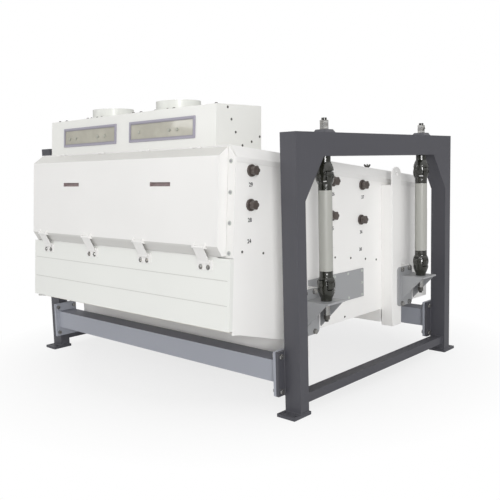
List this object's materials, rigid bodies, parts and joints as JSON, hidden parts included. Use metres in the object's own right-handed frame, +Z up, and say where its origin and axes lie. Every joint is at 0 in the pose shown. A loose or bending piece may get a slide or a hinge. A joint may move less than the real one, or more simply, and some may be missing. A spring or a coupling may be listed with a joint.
{
  "type": "grain separator",
  "caption": "Inclined sieve box hung on cardan hangers in a welded portal frame, with an inlet head, a hinged hood and an unbalance drive that swings it to sort grain.",
  "frame": {"origin": "on the floor under the middle of the frame's footprint", "axes": "+Z up, -Y towards the front with the access hood, +X to the right seen from the front, along the tie beams"},
  "size_m": [2.79, 2.5791, 1.95],
  "materials": {
    "frame_paint": "dark blue-grey gloss paint, welded steel tube",
    "beam_paint": "mid blue-grey gloss paint",
    "zinc": "zinc-plated steel",
    "black_joint": "glossy black paint on forged steel",
    "hanger_tube": "brushed bright steel",
    "white_paint": "smooth off-white powder coat",
    "bracket_paint": "light grey paint",
    "window_trim": "grey-violet frame",
    "window_glass": "smoked clear pane",
    "sieve_wood": "lacquered wooden sieve frame with steel mesh",
    "bare_steel": "stainless steel sheet",
    "knob_plastic": "black moulded plastic",
    "motor_paint": "blue-grey motor paint"
  },
  "bodies": {
    "frame": {"portal_frame_left": "frame_paint", "portal_frame_right": "frame_paint", "front_tie_beam": "beam_paint", "rear_tie_beam": "beam_paint", "upper_hanger_yokes": "black_joint", "frame_fasteners": "zinc"},
    "sieve_box": {"lower_hanger_yokes": "black_joint", "side_wall_right": "white_paint", "side_wall_left": "white_paint", "top_cover": "white_paint", "front_frame": "white_paint", "front_panel": "white_paint", "rear_panel": "white_paint", "base_floor": "white_paint", "inlet_head": "white_paint", "inlet_spouts": "white_paint", "window_frames": "window_trim", "window_panes": "window_glass", "upper_sieves": "sieve_wood", "lower_sieves": "sieve_wood", "sieve_supports": "bare_steel", "bottom_pan": "bare_steel", "discharge_head": "white_paint", "support_frame": "white_paint", "side_reinforcements": "white_paint", "hanger_brackets": "bracket_paint", "bracket_fasteners": "zinc", "knob_flanges": "knob_plastic", "hood_fittings": "white_paint", "drive_motor": "motor_paint"},
    "access_hood": {"access_hood": "white_paint"},
    "unbalance_weight": {"unbalance_weight": "black_joint"},
    "upper_cross_front_right": {"upper_cross_front_right": "black_joint"},
    "hanger_front_right": {"hanger_shaft_front_right": "hanger_tube"},
    "lower_cross_front_right": {"lower_cross_front_right": "black_joint"},
    "upper_cross_front_left": {"upper_cross_front_left": "black_joint"},
    "hanger_front_left": {"hanger_shaft_front_left": "hanger_tube"},
    "lower_cross_front_left": {"lower_cross_front_left": "black_joint"},
    "upper_cross_rear_right": {"upper_cross_rear_right": "black_joint"},
    "hanger_rear_right": {"hanger_shaft_rear_right": "hanger_tube"},
    "lower_cross_rear_right": {"lower_cross_rear_right": "black_joint"},
    "upper_cross_rear_left": {"upper_cross_rear_left": "black_joint"},
    "hanger_rear_left": {"hanger_shaft_rear_left": "hanger_tube"},
    "lower_cross_rear_left": {"lower_cross_rear_left": "black_joint"},
    "latch_1": {"latch_1": "white_paint"},
    "latch_2": {"latch_2": "white_paint"},
    "latch_3": {"latch_3": "white_paint"},
    "latch_4": {"latch_4": "white_paint"},
    "knob_right_front_upper": {"knob_right_front_upper": "knob_plastic"},
    "knob_right_front_lower": {"knob_right_front_lower": "knob_plastic"},
    "knob_right_middle_upper": {"knob_right_middle_upper": "knob_plastic"},
    "knob_right_middle_lower": {"knob_right_middle_lower": "knob_plastic"},
    "knob_right_rear_upper": {"knob_right_rear_upper": "knob_plastic"},
    "knob_right_rear_lower": {"knob_right_rear_lower": "knob_plastic"},
    "knob_left_front_upper": {"knob_left_front_upper": "knob_plastic"},
    "knob_left_front_lower": {"knob_left_front_lower": "knob_plastic"},
    "knob_left_middle_upper": {"knob_left_middle_upper": "knob_plastic"},
    "knob_left_middle_lower": {"knob_left_middle_lower": "knob_plastic"},
    "knob_left_rear_upper": {"knob_left_rear_upper": "knob_plastic"},
    "knob_left_rear_lower": {"knob_left_rear_lower": "knob_plastic"}
  },
  "joints": [
    {"name": "upper_side_swing_front_right", "type": "hinge", "parent": "frame", "child": "upper_cross_front_right", "pos_m": [1.318, -0.6, 1.434], "axis": [0, 1, 0], "range_deg": [-3, 3]},
    {"name": "upper_fore_swing_front_right", "type": "hinge", "parent": "upper_cross_front_right", "child": "hanger_front_right", "pos_m": [1.318, -0.6, 1.434], "axis": [1, 0, 0], "range_deg": [-3, 3]},
    {"name": "lower_fore_swing_front_right", "type": "hinge", "parent": "hanger_front_right", "child": "lower_cross_front_right", "pos_m": [1.318, -0.6, 0.758], "axis": [1, 0, 0], "range_deg": [-3, 3]},
    {"name": "lower_side_swing_front_right", "type": "hinge", "parent": "lower_cross_front_right", "child": "sieve_box", "pos_m": [1.318, -0.6, 0.758], "axis": [0, 1, 0], "range_deg": [-3, 3]},
    {"name": "upper_side_swing_front_left", "type": "hinge", "parent": "frame", "child": "upper_cross_front_left", "pos_m": [-1.318, -0.6, 1.434], "axis": [0, 1, 0], "range_deg": [-3, 3]},
    {"name": "upper_fore_swing_front_left", "type": "hinge", "parent": "upper_cross_front_left", "child": "hanger_front_left", "pos_m": [-1.318, -0.6, 1.434], "axis": [1, 0, 0], "range_deg": [-3, 3]},
    {"name": "lower_fore_swing_front_left", "type": "hinge", "parent": "hanger_front_left", "child": "lower_cross_front_left", "pos_m": [-1.318, -0.6, 0.758], "axis": [1, 0, 0], "range_deg": [-3, 3]},
    {"name": "upper_side_swing_rear_right", "type": "hinge", "parent": "frame", "child": "upper_cross_rear_right", "pos_m": [1.318, 0.6, 1.434], "axis": [0, 1, 0], "range_deg": [-3, 3]},
    {"name": "upper_fore_swing_rear_right", "type": "hinge", "parent": "upper_cross_rear_right", "child": "hanger_rear_right", "pos_m": [1.318, 0.6, 1.434], "axis": [1, 0, 0], "range_deg": [-3, 3]},
    {"name": "lower_fore_swing_rear_right", "type": "hinge", "parent": "hanger_rear_right", "child": "lower_cross_rear_right", "pos_m": [1.318, 0.6, 0.758], "axis": [1, 0, 0], "range_deg": [-3, 3]},
    {"name": "upper_side_swing_rear_left", "type": "hinge", "parent": "frame", "child": "upper_cross_rear_left", "pos_m": [-1.318, 0.6, 1.434], "axis": [0, 1, 0], "range_deg": [-3, 3]},
    {"name": "upper_fore_swing_rear_left", "type": "hinge", "parent": "upper_cross_rear_left", "child": "hanger_rear_left", "pos_m": [-1.318, 0.6, 1.434], "axis": [1, 0, 0], "range_deg": [-3, 3]},
    {"name": "lower_fore_swing_rear_left", "type": "hinge", "parent": "hanger_rear_left", "child": "lower_cross_rear_left", "pos_m": [-1.318, 0.6, 0.758], "axis": [1, 0, 0], "range_deg": [-3, 3]},
    {"name": "hood_hinge", "type": "hinge", "parent": "sieve_box", "child": "access_hood", "pos_m": [0, -1.1523, 1.63254], "axis": [-1, 0, 0], "range_deg": [0, 75]},
    {"name": "latch_1_hinge", "type": "hinge", "parent": "access_hood", "child": "latch_1", "pos_m": [-0.882, -1.27982, 1.03884], "axis": [-1, 0, 0], "range_deg": [0, 80]},
    {"name": "latch_2_hinge", "type": "hinge", "parent": "access_hood", "child": "latch_2", "pos_m": [-0.298, -1.27982, 1.03884], "axis": [-1, 0, 0], "range_deg": [0, 80]},
    {"name": "latch_3_hinge", "type": "hinge", "parent": "access_hood", "child": "latch_3", "pos_m": [0.298, -1.27982, 1.03884], "axis": [-1, 0, 0], "range_deg": [0, 80]},
    {"name": "latch_4_hinge", "type": "hinge", "parent": "access_hood", "child": "latch_4", "pos_m": [0.882, -1.27982, 1.03884], "axis": [-1, 0, 0], "range_deg": [0, 80]},
    {"name": "knob_right_front_upper_turn", "type": "hinge", "parent": "sieve_box", "child": "knob_right_front_upper", "pos_m": [1.13, -1.029, 1.483], "axis": [1, 0, 0], "continuous": true},
    {"name": "knob_right_front_lower_turn", "type": "hinge", "parent": "sieve_box", "child": "knob_right_front_lower", "pos_m": [1.13, -1.04507, 1.27926], "axis": [1, 0, 0], "continuous": true},
    {"name": "knob_right_middle_upper_turn", "type": "hinge", "parent": "sieve_box", "child": "knob_right_middle_upper", "pos_m": [1.13, -0.213, 1.39291], "axis": [1, 0, 0], "continuous": true},
    {"name": "knob_right_middle_lower_turn", "type": "hinge", "parent": "sieve_box", "child": "knob_right_middle_lower", "pos_m": [1.13, -0.23155, 1.15768], "axis": [1, 0, 0], "continuous": true},
    {"name": "knob_right_rear_upper_turn", "type": "hinge", "parent": "sieve_box", "child": "knob_right_rear_upper", "pos_m": [1.13, 0.146, 1.35328], "axis": [1, 0, 0], "continuous": true},
    {"name": "knob_right_rear_lower_turn", "type": "hinge", "parent": "sieve_box", "child": "knob_right_rear_lower", "pos_m": [1.13, 0.12636, 1.10419], "axis": [1, 0, 0], "continuous": true},
    {"name": "knob_left_front_upper_turn", "type": "hinge", "parent": "sieve_box", "child": "knob_left_front_upper", "pos_m": [-1.13, -1.029, 1.483], "axis": [-1, 0, 0], "continuous": true},
    {"name": "knob_left_front_lower_turn", "type": "hinge", "parent": "sieve_box", "child": "knob_left_front_lower", "pos_m": [-1.13, -1.04507, 1.27926], "axis": [-1, 0, 0], "continuous": true},
    {"name": "knob_left_middle_upper_turn", "type": "hinge", "parent": "sieve_box", "child": "knob_left_middle_upper", "pos_m": [-1.13, -0.213, 1.39291], "axis": [-1, 0, 0], "continuous": true},
    {"name": "knob_left_middle_lower_turn", "type": "hinge", "parent": "sieve_box", "child": "knob_left_middle_lower", "pos_m": [-1.13, -0.23155, 1.15768], "axis": [-1, 0, 0], "continuous": true},
    {"name": "knob_left_rear_upper_turn", "type": "hinge", "parent": "sieve_box", "child": "knob_left_rear_upper", "pos_m": [-1.13, 0.146, 1.35328], "axis": [-1, 0, 0], "continuous": true},
    {"name": "knob_left_rear_lower_turn", "type": "hinge", "parent": "sieve_box", "child": "knob_left_rear_lower", "pos_m": [-1.13, 0.12636, 1.10419], "axis": [-1, 0, 0], "continuous": true},
    {"name": "weight_turn", "type": "hinge", "parent": "sieve_box", "child": "unbalance_weight", "pos_m": [0, -0.115, 0.152], "axis": [0, 0, 1], "continuous": true}
  ],
  "couplings": [
    {"joint": "upper_side_swing_front_right", "follows": "lower_side_swing_front_right", "ratio": -1},
    {"joint": "upper_fore_swing_front_right", "follows": "lower_fore_swing_front_right", "ratio": -1},
    {"joint": "upper_side_swing_front_left", "follows": "lower_side_swing_front_right", "ratio": -1},
    {"joint": "upper_fore_swing_front_left", "follows": "lower_fore_swing_front_right", "ratio": -1},
    {"joint": "lower_fore_swing_front_left", "follows": "lower_fore_swing_front_right", "ratio": 1},
    {"joint": "upper_side_swing_rear_right", "follows": "lower_side_swing_front_right", "ratio": -1},
    {"joint": "upper_fore_swing_rear_right", "follows": "lower_fore_swing_front_right", "ratio": -1},
    {"joint": "lower_fore_swing_rear_right", "follows": "lower_fore_swing_front_right", "ratio": 1},
    {"joint": "upper_side_swing_rear_left", "follows": "lower_side_swing_front_right", "ratio": -1},
    {"joint": "upper_fore_swing_rear_left", "follows": "lower_fore_swing_front_right", "ratio": -1},
    {"joint": "lower_fore_swing_rear_left", "follows": "lower_fore_swing_front_right", "ratio": 1}
  ]
}
